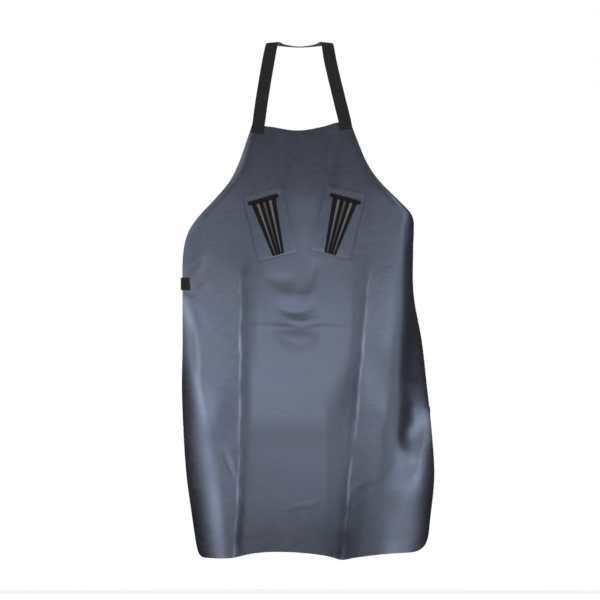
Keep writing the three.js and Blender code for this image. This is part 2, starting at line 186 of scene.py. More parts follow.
# How sharp the creases are and how far they wander: a mean and waves of a height, a length and a start
CREASE_SHARPNESS = (0.6, ((0.22, 27, 0), (0.18, 11.3, 1)))
CREASE_WANDER = (0, ((0.9, 19, 0), (0.6, 7.3, 0)))

# The step where the cloth leaves the right hip: place, half width and depth
HIP = Table("drop x reach depth", [
    [330, 262, 12, 0],
    [390, 262, 12, 2],
    [440, 259, 14, 40],
    [520, 257, 15, 54],
    [640, 255, 17, 58],
    [729, 251, 20, 64],
    [800, 249, 22, 66],
    [850, 250, 24, 66],
    [894, 247, 25, 60],
    [930, 244, 26, 50],
    [965, 246, 30, 40],
    [1001, 245, 34, 29],
    [1040, 237, 37, 21],
    [1110, 227, 43, 17],
    [1180, 220, 48, 18],
])

# How the side edges roll back: width, depth and the angle at the cut edge
ROLLS = {
    "left": Table("drop width depth turn", [
        [186, 22, 6, 40],
        [446, 24, 150, 9],
        [597, 24, 150, 8],
        [729, 46, 66, 44],
        [812, 50, 60, 70],
        [894, 64, 66, 92],
        [960, 73, 71, 97],
        [1036, 82, 76, 98],
        [1130, 80, 75, 98],
        [1222, 72, 72, 98],
    ]),
    "right": Table("drop width depth turn", [
        [186, 22, 6, 40],
        [371, 24, 14, 60],
        [406, 24, 20, 80],
        [440, 26, 28, 100],
        [520, 30, 36, 135],
        [573, 30, 36, 140],
        [640, 32, 38, 122],
        [690, 36, 44, 102],
        [729, 42, 54, 92],
        [800, 44, 56, 90],
        [840, 38, 46, 76],
        [880, 25, 26, 46],
        [930, 25, 28, 47],
        [965, 34, 40, 68],
        [1001, 50, 56, 86],
        [1036, 66, 70, 95],
        [1130, 96, 80, 98],
        [1222, 98, 80, 98],
    ]),
}
CORNER_RADIUS = {"left": 60, "right": 95}

# Folds of the cloth: from one point to another, bowed down by the sag, with a half width and a height
FOLDS = Table("x1 drop1 x2 drop2 sag spread height", [
    [-72, 590, 46, 588, 13, 15, 1.5],
    [-62, 622, 42, 618, 16, 9, -1.5],
    [-40, 650, 50, 648, 12, 6, 1.1],
    [-52, 702, 46, 702, 14, 22, 1.2],
    [38, 510, 4, 618, 0, 13, -2],
    [-88, 554, -2, 560, 8, 15, -1.4],
    [-262, 548, -216, 486, 0, 16, -1.6],
    [-262, 580, -196, 520, 0, 18, 1],
    [78, 205, 82, 350, 0, 12, -4],
    [-44, 215, -38, 350, 0, 14, -2.5],
    [-400, 440, 400, 440, 0, 65, 2.5],
])

# Small wrinkles, shallow dips and rises, and the cross crease that the packing left
WRINKLES = Table("x1 drop1 x2 drop2 sag spread height", [
    [-150, 672, 152, 677, 0, 4.5, 0.8],
    [-36, 664, 50, 663, 10, 5, -0.7],
    [-184, 970, -151, 1036, 0, 6, -1.2],
    [-170, 950, -146, 1030, 0, 8, 0.8],
    [-48, 866, -16, 876, 0, 4.5, 0.5],
    [-47, 1107, 54, 1087, 0, 6, 0.35],
    [123, 1067, 179, 1010, 0, 8, 0.9],
    [139, 1074, 212, 1027, 0, 8, -0.9],
    [-245, 582, -213, 573, 0, 6, -0.9],
    [-258, 606, -222, 690, 0, 13, -0.6],
    [-58, 632, 40, 630, 13, 6, -0.8],
    [-50, 658, 44, 656, 9, 5, 0.6],
    [-68, 686, 46, 698, 8, 22, 3],
    [-266, 578, -194, 520, 0, 18, -0.9],
    [288, 780, 292, 868, 0, 16, -5],
    [264, 790, 268, 866, 0, 16, 6.5],
    [250, 898, 245, 968, 0, 14, -4.5],
    [214, 850, 214, 975, 0, 25, 2.2],
    [-195, 800, -195, 940, 0, 30, 2.5],
    [-112, 760, -114, 1050, 0, 14, 1.2],
    [58, 820, 60, 1180, 0, 18, 1.9],
    [116, 850, 108, 1160, 0, 16, -1.4],
    [190, 720, 190, 872, 0, 38, -3.2],
    [-98, 535, -98, 790, 0, 22, 2],
    [141, 590, 128, 760, 0, 9, -0.9],
    [236, 1060, 228, 1300, 0, 40, -4.5],
])

# Strokes that wear has left dull: about the left tab, down both sides and on the flare of the hip
DULLED = Table("x1 drop1 x2 drop2 sag spread height", [
    [-280, 572, -222, 506, 0, 9, 1],
    [-290, 588, -236, 610, 0, 7, 0.8],
    [238, 360, 252, 480, 0, 10, 1],
    [278, 800, 284, 905, 0, 13, 0.9],
    [222, 830, 214, 960, 0, 12, 0.8],
    [276, 990, 273, 1030, 0, 9, 0.5],
    [-258, 660, -246, 800, 0, 9, 0.5],
])

# Where shade is painted on the coating: reach across, the drops at which it sets in or ends, and depth
SHADES = {
    "bib": {"end": 460, "fade": 120, "depth": 0.55},
    "hip": {"reach": 26, "full_depth": 45},
    "foot": {"reach": 62, "start": 930, "fade": 150, "depth": 0.6},
    "edge": {"reach": 22, "start_turn": 35, "fade": 70},
    "bend": {"reach": 8, "inset": 9, "start": 490, "fade": 70, "depth": 1.5},
}

# Where the hip is rubbed dull: along its brow and on slopes within a span of drops, less in the spared part
HIP_DULL = {
    "brow": {"ahead": 1.3, "reach": 16, "full_depth": 30},
    "slope": {"steepness": 0.35, "reach": 0.3},
    "past": {"ahead": 0.3, "pace": 2, "open_at": 950, "fade": 40},
    "span": {"start": 880, "end": 1080, "fade": 50},
    "spared": {"start": 940, "fade": 40, "depth": 0.35},
}


# Numbers and lines
def spread(count):
    return np.linspace(0, 1, count + 1)


def ramp(distance, roundness):
    return (distance + np.hypot(distance, roundness)) / 2


def smooth_path(stops, shares):
    """Points at shares of a curve through the stops, its spans paced by the root of their length."""
    stops = np.array(stops, float)
    ends = np.vstack([2 * stops[0] - stops[1], stops, 2 * stops[-1] - stops[-2]])
    spans = np.sqrt(np.linalg.norm(np.diff(ends, axis=0), axis=1))
    found = []
    for share in shares:
        at = min(int(share * (len(stops) - 1)), len(stops) - 2)
        p = share * (len(stops) - 1) - at
        p0, p1, p2, p3 = ends[at:at + 4]
        d0, d1, d2 = spans[at:at + 3]
        leave = ((p1 - p0) / d0 - (p2 - p0) / (d0 + d1) + (p2 - p1) / d1) * d1
        reach = ((p2 - p1) / d1 - (p3 - p1) / (d1 + d2) + (p3 - p2) / d2) * d1
        curve = (2 * p1 - 2 * p2 + leave + reach) * p**3
        found.append(curve + (3 * p2 - 3 * p1 - 2 * leave - reach) * p**2 + leave * p + p1)
    return np.array(found)


def unit(vectors):
    return vectors / np.linalg.norm(vectors, axis=-1, keepdims=True)


def near(distance, reach):
    """1 at no distance, falling to 0 past the reach."""
    return np.exp(-(distance / reach) ** 2)


def fade(distance, reach):
    """The distance as a share of the reach, kept between 0 and 1."""
    return np.clip(distance / reach, 0, 1)


def waver(mean, waves, drop):
    """A value that wavers about its mean on the way down."""
    return mean + sum(height * np.sin(drop / length + start) for height, length, start in waves)


def run_lengths(line):
    """How far along the line each of its points is."""
    return np.concatenate([[0], np.cumsum(np.linalg.norm(np.diff(line, axis=0), axis=1))])


def read_along(reach, lengths, vectors):
    """The vectors at each reach along a line whose points have the given lengths."""
    return np.stack([np.interp(reach, lengths, column) for column in vectors.T], axis=-1)


# The sheet's front face
def fold_relief(table, x, drop):
    """What the table's folds add up to, each highest half way along."""
    relief = 0
    for x1, drop1, x2, drop2, sag, width, height in table.rows:
        run, fall = x2 - x1, drop2 - drop1
        length = math.hypot(run, fall)
        share = np.clip(((x - x1) * run + (drop - drop1) * fall) / length**2, 0, 1)
        off = (run * (drop - drop1) - fall * (x - x1)) / length - 4 * sag * share * (1 - share)
        relief = relief + height * np.sin(np.pi * share) * near(off, width)
    return relief


def face_depth(x, drop):
    """The y of the sheet's broad shape."""
    depth = PROFILE.at("y", drop) - fold_relief(FOLDS, x, drop)
    for side in SIDES:
        past = (x - BENDS.at(side, drop)) * signed(side)
        depth = depth + PROFILE.at(side, drop) * ramp(past, BENDS.at(f"{side}_round", drop))
    hip = 0.5 + 0.5 * np.tanh((x - HIP.at("x", drop)) / HIP.at("reach", drop))
    return depth + HIP.at("depth", drop) * hip


def crease_break(drop):
    """How sharp a crease still is along its length, from 0 to 1."""
    return waver(*CREASE_SHARPNESS, drop)


def crease_line(side, drop):
    """The x of a packing crease, which wanders a little on its way down."""
    return CREASES.at(side, drop) + waver(*CREASE_WANDER, drop)


def fine_relief(x, drop):
    """What the small wrinkles and the creases' ridges add in front of the broad shape."""
    ridge = sum(near(x - crease_line(side, drop), RIDGE_REACH) for side in SIDES)
    return fold_relief(WRINKLES, x, drop) + CREASES.at("ridge", drop) * crease_break(drop) * ridge


def face_point(x, drop, lift=0.0):
    x, drop = np.broadcast_arrays(np.asarray(x, float), np.asarray(drop, float))
    return np.stack([x, face_depth(x, drop) - lift, CREST_Z - drop], axis=-1)


def face_normal(x, drop):
    across = (face_depth(x + 1, drop) - face_depth(x - 1, drop)) / 2
    down = (face_depth(x, drop + 1) - face_depth(x, drop - 1)) / 2
    return unit(np.stack([across, -np.ones_like(across), -down], axis=-1))


def roll_point(side, share, drop):
    """A point of a rolled side, from 0 where the roll starts to 1 at the cut edge."""
    roll, edge = ROLLS[side], OUTLINE.at(side, drop)
    turn = np.radians(roll.at("turn", drop))
    inward = roll.at("width", drop) * (1 - np.sin(turn * share) / np.sin(np.minimum(turn, np.pi / 2)))
    back = roll.at("depth", drop) * (1 - np.cos(turn * share))
    x = edge - signed(side) * inward
    return face_point(x, drop, fine_relief(x, drop) - back)


def sheet_point(zone, share, drop):
    """A point of the sheet, by its share of a zone that runs from the bib to the hem."""
    if zone in SIDES:
        return roll_point(zone, share, drop)
    crease = {side: CREASES.at(side, drop) for side in SIDES}
    edge = {side: OUTLINE.at(side, drop) - signed(side) * ROLLS[side].at("width", drop) for side in SIDES}
    start, end = {
        "left_panel": (edge["left"], crease["left"]),
        "middle": (crease["left"], crease["right"]),
        "right_panel": (crease["right"], edge["right"]),
    }[zone]
    x = start + (end - start) * share
    return face_point(x, drop, fine_relief(x, drop))


def corner_rise(zone, share):
    """How far the hem's round corner lifts a column, by its distance from the cut edge along the cloth."""
    if zone not in SIDES:
        return 0.0
    width, depth, turn = (ROLLS[zone].at(name, HEM_DROP) for name in ("width", "depth", "turn"))
    radius = CORNER_RADIUS[zone]
    inset = min((1 - share) * math.radians(turn) * (width + depth) / 2, radius)
    return radius - math.sqrt(radius**2 - (radius - inset) ** 2)


def sheet_columns(roll_steps, panel_steps, middle_steps):
    """Zone and share of each column from the left cut edge to the right one, closest at the creases."""
    even = 0.25
    roll, panel, middle = spread(roll_steps), spread(panel_steps), spread(middle_steps)
    from_crease = even * panel + (1 - even) * panel**2
    between = even * middle + (1 - even) * (1 - np.cos(np.pi * middle)) / 2
    return (
        [("left", share) for share in roll[:0:-1]]
        + [("left_panel", 1 - share) for share in from_crease[:0:-1]]
        + [("middle", share) for share in between[:-1]]
        + [("right_panel", share) for share in from_crease[:-1]]
        + [("right", share) for share in roll]
    )


def chest_point(side, zero, tilt, across, down, lift):
    """A point of a tilted piece on the chest: across and down from its own zero, lifted off the sheet."""
    sine, cosine = math.sin(math.radians(tilt)), math.cos(math.radians(tilt))
    x = zero[0] + across * cosine - signed(side) * down * sine
    drop = zero[1] + signed(side) * across * sine + down * cosine
    return face_point(x, drop, lift)


# Pieces on the sheet
SEAT_GAP = 0.4
PATCH = {"width": 106, "height": 171, "tilt": 13.7, "centres": {"left": (-71, 430), "right": (91, 426)}}
PATCH_SEAM = {"inset": 4.5, "reach": 5.0, "shade": 0.5, "steps": 60}
PATCH_PUFF = {"inside": 0.25, "edge_share": 0.25, "pucker": 0.12, "pitch": 9.0}
SHEATH = {
    "length": 138,
    "tilt": 15.6,
    "lip": {"height": 8, "half_width": 37.5, "depth": 19, "bevel": 2.4},
    "mouth": {"half_width": 30, "depth": 16},
    "foot": {"half_width": 14, "depth": 10},
    "wall": 2,
    "floor": 4,
    "mouth_cut": 6,
    "ribs": (-0.5, 0.02, 0.54),
    "rib_half_width": 0.13,
    "rib_height": 3,
    "rib_short": 2,
    "rib_foot": 0.75,
    # Painted highlight on the rib crests, weaker below the lip and on the middle rib
    "rub": {"crest": 0.8, "lip_fade": 2, "lip_least": 0.3, "middle_dimmed": 0.25, "middle_reach": 0.22},
    "mouths": {"left": (-88, 371), "right": (108, 369)},
}
BUCKLE = {"length": 58, "height": 40, "thick": 9, "corner": 7, "slot_depth": 12, "slot_play": 0.4, "y": 42}
BUCKLE_FACE = {"rim": 1.4, "crown": 1.08, "frame": 4.2, "step": 0.9, "bevel": 0.5}
BUCKLE_RIDGES = {"places": range(-2, 3), "pitch": 6.5, "radius": 1.1, "length": 20, "sunk": 0.4}

# The neck strap's way from the bib to the nape: drop, both sides' x, y, and where its face looks
NECK = Table("drop left right y lean splay", [
    [139, -90.5, 94, -125, 15, 4],
    [45, -75, 72, -94, 28, 5],
    [9, -68, 66, -66, 56, 8],
    [0, -65, 63, -46, 80, 8],
    [4, -50, 49, -15, 93, 5],
])
NECK_ENDS = {"left": ((-101.5, 217), (-98, 195)), "right": ((109.5, 208), (105.5, 186))}
NAPE_LEAN = 91

# The belt's way behind the wearer, from each edge of the apron to the buckle
BELTS = {
    "left": ((-244, -74), (-160, 6), (-78, 36)),
    "right": ((254, -46), (214, -6), (150, 22), (78, 38)),
}
BELT_SEWN_FROM = {"left": 0.3, "right": 0.84}


# Sizes, colours and light
class ApronSizes(PropertyGroup):
    """Sizes that a maker would change."""

    cloth: FloatProperty(
        name="Cloth", description="Thickness of the coated cloth", default=0.0016, unit="LENGTH")
    patch: FloatProperty(
        name="Patch", description="Thickness of a chest patch", default=0.0014, unit="LENGTH")
    webbing_width: FloatProperty(
        name="Webbing width", description="Width of the straps", default=0.03, unit="LENGTH")
    webbing: FloatProperty(
        name="Webbing", description="Thickness of the straps", default=0.0018, unit="LENGTH")
    stitch: FloatProperty(
        name="Stitch", description="Length of one stitch with its gap", default=0.0042, unit="LENGTH")
    thread: FloatProperty(
        name="Thread", description="Width of the sewing thread", default=0.0009, unit="LENGTH")


class ApronColours(PropertyGroup):
    """Base colours of the finishes."""

    cloth: FloatVectorProperty(
        name="Cloth", description="Coated face of the cloth", subtype="COLOR",
        default=(0.041, 0.034, 0.0345))
    backing: FloatVectorProperty(
        name="Backing", description="Woven back of the cloth", subtype="COLOR",
        default=(0.075, 0.077, 0.084))
    webbing: FloatVectorProperty(
        name="Webbing", description="Straps", subtype="COLOR", default=(0.013, 0.013, 0.0138))
    thread: FloatVectorProperty(
        name="Thread", description="Sewing thread", subtype="COLOR", default=(0.022, 0.022, 0.026))
    sheath: FloatVectorProperty(
        name="Sheath", description="Moulded rubber", subtype="COLOR", default=(0.013, 0.0126, 0.0138))
    buckle: FloatVectorProperty(
        name="Buckle", description="Moulded plastic", subtype="COLOR", default=(0.014, 0.014, 0.015))


class ApronStudio(PropertyGroup):
    """Camera and light."""

    distance: FloatProperty(
        name="Distance", description="Camera to the apron's face", default=24.0, unit="LENGTH")
    field: FloatProperty(
        name="Field", description="Width of the view at the apron's face", default=1.416, unit="LENGTH")
    eye_level: FloatProperty(
        name="Eye level", description="Height of the camera", default=-0.601, unit="LENGTH")
    floor_gap: FloatProperty(
        name="Floor gap", description="Floor below the hem", default=0.16, unit="LENGTH")
    front_power: FloatProperty(
        name="Front light", description="Power of the panel in front", default=10.5, unit="POWER")
    fill_power: FloatProperty(
        name="Fill light", description="Power of each panel beside the front one",
        default=2.6, unit="POWER")
    side_power: FloatProperty(
        name="Side light", description="Power of each panel at the sides", default=63.5, unit="POWER")
    top_power: FloatProperty(
        name="Top light", description="Power of the panel above", default=2.0, unit="POWER")
    back_power: FloatProperty(
        name="Back light", description="Power of the panel behind", default=60.0, unit="POWER")
    room: FloatProperty(
        name="Room", description="Strength of the room's own light", default=0.03)


def size_mm(name):
    return getattr(bpy.context.scene.apron_sizes, name) / MM


# Shaders
class Socket:
    """An output of a shader node whose arithmetic adds Math nodes."""

    def __init__(self, finish, output):
        self.finish = finish
        self.output = output

    def __add__(self, other):
        return self.finish.math("ADD", self, other)

    def __sub__(self, other):
        return self.finish.math("SUBTRACT", self, other)

    def __rsub__(self, other):
        return self.finish.math("SUBTRACT", other, self)

    def __mul__(self, other):
        return self.finish.math("MULTIPLY", self, other)

    __radd__ = __add__
    __rmul__ = __mul__


class Finish:
    """A procedural material with one Principled shader and one of the apron's colours."""

    def __init__(self, name, colour=None, **constants):
        self.colour = getattr(bpy.context.scene.apron_colours, colour) if colour else None
        self.material = bpy.data.materials.new(name)
        self.material.use_nodes = True
        self.tree = self.material.node_tree
        self.shader = self.tree.nodes["Principled BSDF"]
        for key, value in constants.items():
            self.shader.inputs[key.replace("_", " ").title().replace("Ior", "IOR")].default_value = value

    def node(self, kind, settings=None, sockets=None, output=0):
        """Adds a node, sets it, feeds its sockets with values or links, and gives one output."""
        made = self.tree.nodes.new(kind)
        for name, value in (settings or {}).items():
            setattr(made, name, value)
        for key, value in (sockets or {}).items():
            self.feed(made.inputs[key], value)
        return Socket(self, made.outputs[output])

    def feed(self, socket, value):
        if isinstance(value, Socket):
            self.tree.links.new(value.output, socket)
        else:
            socket.default_value = value

    def tint(self, *factors):
        """The finish's colour times one factor, or times one for each channel."""
        return tuple(np.multiply(self.colour, factors))

    def math(self, operation, first, second):
        return self.node("ShaderNodeMath", {"operation": operation}, {0: first, 1: second})

    def limit(self, value, low, high):
        """The value as a share of the way from low to high, kept between 0 and 1."""
        sockets = {"Value": value, "From Min": low, "From Max": high}
        return self.node("ShaderNodeMapRange", {"clamp": True, "interpolation_type": "SMOOTHSTEP"}, sockets)

    def blend(self, share, first, second):
        """The first colour where share is 0 and the second where it is 1."""
        colours = {0: share, 6: opaque(first), 7: opaque(second)}
        return self.node("ShaderNodeMix", {"data_type": "RGBA"}, colours, output=2)

    def noise(self, place, scale, detail=2.0, roughness=0.5):
        sockets = {"Vector": place, "Scale": scale, "Detail": detail, "Roughness": roughness}
        return self.node("ShaderNodeTexNoise", {}, sockets)

    def wave(self, place, scale, direction, distortion=0.0):
        sockets = {"Vector": place, "Scale": scale, "Distortion": distortion}
        settings = {"wave_type": "BANDS", "bands_direction": direction, "wave_profile": "SIN"}
        return self.node("ShaderNodeTexWave", settings, sockets, output="Fac")

    def stretch(self, place, scale):
        return self.node("ShaderNodeMapping", {}, {"Vector": place, "Scale": scale})

    def object_place(self):
        return self.node("ShaderNodeTexCoord", output="Object")

    def attribute(self, name):
        return self.node("ShaderNodeAttribute", {"attribute_name": name}, output="Fac")

    def paint(self, colour, roughness, height, strength, distance):
        """Feeds the shader's colour and roughness, and its normal from a height."""
        self.feed(self.shader.inputs["Base Color"], colour)
        self.feed(self.shader.inputs["Roughness"], roughness)
        sockets = {"Strength": strength, "Distance": distance, "Height": height}
        self.feed(self.shader.inputs["Normal"], self.node("ShaderNodeBump", {}, sockets))
        return self.material


def opaque(colour):
    return colour if isinstance(colour, Socket) else (*colour, 1.0)


def finish_once(make):
    """The finish that a function makes, made the first time that it is asked for and named after it."""
    return bpy.data.materials.get(make.__name__) or make(make.__name__)


def coated_cloth(name):
    """Satin coating with a fine grain and cloudy tone, creases paler from wear and a painted highlight, and
    painted shade darkening its folds.
    """
    finish = Finish(name, "cloth", specular_ior_level=1.0, specular_tint=(0.57, 0.715, 1.0, 1.0), ior=1.9)
    place = finish.object_place()
    cloud = finish.noise(place, 6.0, 4.0, 0.6)
    mottle = finish.noise(finish.stretch(place, (50.0, 50.0, 95.0)), 1.0, 6.0, 0.7)
    streak = finish.noise(finish.stretch(place, (36.0, 36.0, 300.0)), 1.0, 4.0, 0.65)
    pebble = finish.noise(place, 420.0, 3.0, 0.6)
    grain = finish.noise(place, 1300.0, 2.0)
    # Masks: crease wear with a painted highlight, painted shade, and the dulled hip
    worn = finish.limit(finish.attribute("crease_wear"), 0.1, 1.0)
    painted_shade = finish.attribute("fold_shade")
    dull = finish.attribute("hip_dull")
    cool, warm = finish.tint(0.1, 0.2, 0.35), finish.tint(2.0, 1.85, 1.75)
    tone = finish.blend(finish.limit(0.3 * cloud + 0.35 * mottle + 0.35 * streak, 0.3, 0.7), cool, warm)
    # Creases are paler from wear and a painted highlight; painted shade darkens the folds, bib, hip and
    # edges
    tone = finish.blend(worn * 0.6, tone, finish.tint(3.2))
    tone = finish.blend(painted_shade * 0.8, tone, finish.tint(0.3))
    roughness = 0.31 + 0.1 * cloud + 0.1 * mottle + 0.1 * streak + 0.03 * pebble
    roughness = roughness + 0.05 * worn + 0.26 * dull - 0.1 * painted_shade
    height = 0.03 * grain + 0.03 * pebble + 0.05 * streak + 0.06 * mottle
    return finish.paint(tone, roughness, height, 1.0, 0.001)


def cloth_backing(name):
    """The woven back of the cloth."""
    finish = Finish(name, "backing", specular_ior_level=0.2)
    place = finish.object_place()
    weave = finish.wave(place, 330.0, "X", 0.6) * 0.5 + finish.wave(place, 330.0, "Z", 0.6) * 0.5
    cloud = finish.noise(place, 9.0, 6.0, 0.7)
    thread = finish.noise(finish.stretch(place, (30.0, 30.0, 260.0)), 1.0, 4.0, 0.65)
    shown = finish.limit(0.5 * cloud + 0.5 * thread, 0.34, 0.66)
    tone = finish.blend(0.75 * shown + 0.25 * weave, finish.tint(0.75), finish.tint(2.1))
    return finish.paint(tone, 0.76 + 0.16 * cloud, weave, 0.5, 0.0004)


def cut_edge(name):
    """The raw cut through coating and backing."""
    finish = Finish(name, "cloth", specular_ior_level=0.3)
    fray = finish.noise(finish.object_place(), 700.0, 3.0, 0.7)
    tone = finish.blend(fray, finish.tint(0.3), finish.tint(0.75))
    return finish.paint(tone, 0.75 + 0.15 * fray, fray, 0.5, 0.0004)


def woven_webbing(name):
    """Black webbing whose twill follows the strap."""
    finish = Finish(name, "webbing", specular_ior_level=0.35, sheen_weight=0.15)
    along = finish.node("ShaderNodeUVMap", {"uv_map": "strap"})
    twill = finish.wave(along, 260.0, "DIAGONAL", 0.3)
    cross = finish.wave(along, 420.0, "Y", 0.4)
    dust = finish.noise(finish.object_place(), 55.0, 4.0, 0.65)
    weave = 0.6 * twill + 0.4 * cross
    tone = finish.blend(0.65 * weave + 0.35 * dust, finish.tint(0.6), finish.tint(1.7))
    return finish.paint(tone, 0.72 + 0.16 * dust, weave, 0.6, 0.0005)


def sewing_thread(name):
    """Twisted dark thread."""
    finish = Finish(name, "thread", specular_ior_level=0.4)
    ply = finish.noise(finish.object_place(), 2600.0, 2.0)
    tone = finish.blend(ply, finish.tint(0.6), finish.tint(1.7))
    return finish.paint(tone, 0.5 + 0.25 * ply, ply, 0.4, 0.0003)


def moulded_rubber(name):
    """Black satin rubber, glossier where it stands out, with a painted highlight that makes its rib crests
    paler.
    """
    finish = Finish(name, "sheath", specular_ior_level=0.24)
    place = finish.object_place()
    skin = finish.noise(place, 900.0, 2.0)
    smudge = finish.noise(place, 45.0, 4.0, 0.6)
    crest_highlight = finish.limit(finish.attribute("rib_rub"), 0.5, 1.0)
    tone = finish.blend(smudge, finish.tint(0.3), finish.tint(0.7))
    # Painted highlight: the rib crests are blended towards pale grey
    tone = finish.blend(crest_highlight, tone, finish.tint(12.0))
    return finish.paint(tone, 0.66 + 0.14 * smudge - 0.36 * crest_highlight, skin, 0.12, 0.0003)


def moulded_plastic(name):
    """Black plastic with a spark-eroded texture."""
    finish = Finish(name, "buckle", specular_ior_level=0.5)
    place = finish.object_place()
    spark = finish.noise(place, 1500.0, 2.0)
    scuff = finish.noise(place, 60.0, 5.0, 0.7)
    tone = finish.blend(scuff, finish.tint(0.75), finish.tint(1.5))
    return finish.paint(tone, 0.42 + 0.16 * scuff, spark, 0.2, 0.0003)


# Meshes
def add_object(name, points, faces, materials):
    """A new mesh object from points in millimetres."""
    mesh = bpy.data.meshes.new(name)
    mesh.from_pydata((np.asarray(points) * MM).tolist(), [], [list(map(int, face)) for face in faces])
    mesh.validate()
    made = bpy.data.objects.new(name, mesh)
    bpy.context.collection.objects.link(made)
    for material in materials:
        mesh.materials.append(material)
    return made


def add_grid(name, points, materials):
    """A new mesh object from rows of points in millimetres."""
    at = np.arange(points[..., 0].size).reshape(points.shape[:2])
    corners = (at[:-1, :-1], at[1:, :-1], at[1:, 1:], at[:-1, 1:])
    return add_object(name, points.reshape(-1, 3), np.stack(corners, axis=-1).reshape(-1, 4), materials)


def choose(made):
    """Selects one object alone and makes it active."""
    bpy.ops.object.select_all(action="DESELECT")
    made.select_set(True)
    bpy.context.view_layer.objects.active = made


def add_primitive(shape, name, place=(0, 0, 0), **settings):
    """A new primitive, selected alone, with its place moved into its mesh."""
    bpy.ops.object.select_all(action="DESELECT")
    getattr(bpy.ops.mesh, f"primitive_{shape}_add")(location=place, **settings)
    made = bpy.context.object
    made.name = name
    bpy.ops.object.transform_apply(location=True)
    return made


def apply_modifier(made, kind, **settings):
    choose(made)
    modifier = made.modifiers.new(kind.title(), kind)
    for name, value in settings.items():
        setattr(modifier, name, value)
    bpy.ops.object.modifier_apply(modifier=modifier.name)


def combine(body, other, operation):
    """Joins another object to the body or cuts it out, and removes it."""
    apply_modifier(body, "BOOLEAN", operation=operation, object=other, solver="EXACT")
    bpy.data.objects.remove(other)


def face_outwards(made):
    choose(made)
    bpy.ops.object.mode_set(mode="EDIT")
    bpy.ops.mesh.select_all(action="SELECT")
    bpy.ops.mesh.normals_make_consistent(inside=False)
    bpy.ops.object.mode_set(mode="OBJECT")


def smooth_by_angle(made, degrees):
    choose(made)
    bpy.ops.object.shade_smooth_by_angle(angle=math.radians(degrees))


def paint_points(made, name, values):
    made.data.attributes.new(name, "FLOAT", "POINT").data.foreach_set("value", np.ravel(values))


def lay_uv(made, name, values):
    """A UV map from one pair of metres for each point."""
    loops = np.zeros(len(made.data.loops), int)
    made.data.loops.foreach_get("vertex_index", loops)
    made.data.uv_layers.new(name=name).data.foreach_set("uv", np.asarray(values, float)[loops].ravel())


def loft(name, rings, material, uv):
    """A closed skin through rings of equal count with a cap at both ends."""
    count, size = rings.shape[:2]
    at = np.arange(count * size).reshape(count, size)
    turned = np.roll(at, -1, axis=1)
    sides = np.stack([at[:-1], turned[:-1], turned[1:], at[1:]], axis=-1).reshape(-1, 4)
    made = add_object(name, rings.reshape(-1, 3), [*sides, at[0][::-1], at[-1]], [material])
    shell = bmesh.new()
    shell.from_mesh(made.data)
    bmesh.ops.recalc_face_normals(shell, faces=shell.faces)
    shell.to_mesh(made.data)
    shell.free()
    lay_uv(made, "strap", uv.reshape(-1, 2))
    return made


WEBBING_RIBS = {"count": 11, "height": 0.12, "steps": 44, "edge_power": 12}


def webbing(name, middles, widths, normals):
    """A strap along stations: its selvedges are round, and ribs run along both faces."""
    half, thick = size_mm("webbing_width") / 2, size_mm("webbing") / 2
    across = np.linspace(-1, 1, WEBBING_RIBS["steps"] + 1)
    wave = WEBBING_RIBS["height"] * np.cos(np.pi * WEBBING_RIBS["count"] * across)
    inner = 1 - across ** WEBBING_RIBS["edge_power"]
    out = (thick - WEBBING_RIBS["height"]) * np.sqrt(inner) + wave * inner
    ring_across = np.concatenate([across, across[-2:0:-1]]) * half
    ring_out = np.concatenate([out, -out[-2:0:-1]])
    rings = (
        middles[:, None]
        + widths[:, None] * ring_across[None, :, None]
        + normals[:, None] * ring_out[None, :, None]
    )
    uv = np.stack(np.broadcast_arrays(ring_across[None], run_lengths(middles)[:, None]), axis=-1) * MM
    made = loft(name, rings, finish_once(woven_webbing), uv)
    smooth_by_angle(made, 50)
    return made


# One stitch: its rings' shares of the length, their rise and size in thread radii, and the gap at each end
STITCH = {
    "shares": np.array([0.0, 0.12, 0.35, 0.65, 0.88, 1.0]),
    "arch": np.array([-1.2, 0.2, 0.75, 0.75, 0.2, -1.2]),
    "girth": np.array([0.55, 0.9, 1.0, 1.0, 0.9, 0.55]),
    "corners": 6,
    "gap": 0.08,
}


def stitches(name, seams):
    """Rounded stitches along seams, each given as its points and outward normals in millimetres."""
    pitch, radius = size_mm("stitch"), size_mm("thread") / 2
    arch, girth = STITCH["arch"][:, None] * radius, STITCH["girth"][:, None] * radius
    corners, gap = STITCH["corners"], STITCH["gap"]
    angles = np.linspace(0, 2 * np.pi, corners, endpoint=False)[None, :, None]
    points, faces = [], []
    for line, normals in seams:
        lengths = run_lengths(line)
        count = max(int(round(lengths[-1] / pitch)), 1)
        for number in range(count):
            reach = (number + gap + (1 - 2 * gap) * STITCH["shares"]) / count * lengths[-1]
            core = read_along(reach, lengths, line)
            up = unit(read_along(reach, lengths, normals))
            side = unit(np.cross(core[-1] - core[0], up))
            rings = (
                (core + up * arch)[:, None]
                + (side * girth)[:, None] * np.cos(angles)
                + (up * girth)[:, None] * np.sin(angles)
            )
            size = len(core) * corners
            at = np.arange(size).reshape(-1, corners) + len(points) * size
            turned = np.roll(at, -1, axis=1)
            quads = np.stack([at[:-1], at[1:], turned[1:], turned[:-1]], axis=-1).reshape(-1, 4)
            faces += [*quads, at[0], at[-1][::-1]]
            points.append(rings.reshape(-1, 3))
    made = add_object(name, np.concatenate(points), faces, [finish_once(sewing_thread)])
    smooth_by_angle(made, 60)
    return made


def seat(made, slot, *nodes):
    """The piece rides on the apron's only body and stands for the nodes; its slot is not used."""
    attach(made, "root")
    if nodes:
        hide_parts(*nodes)


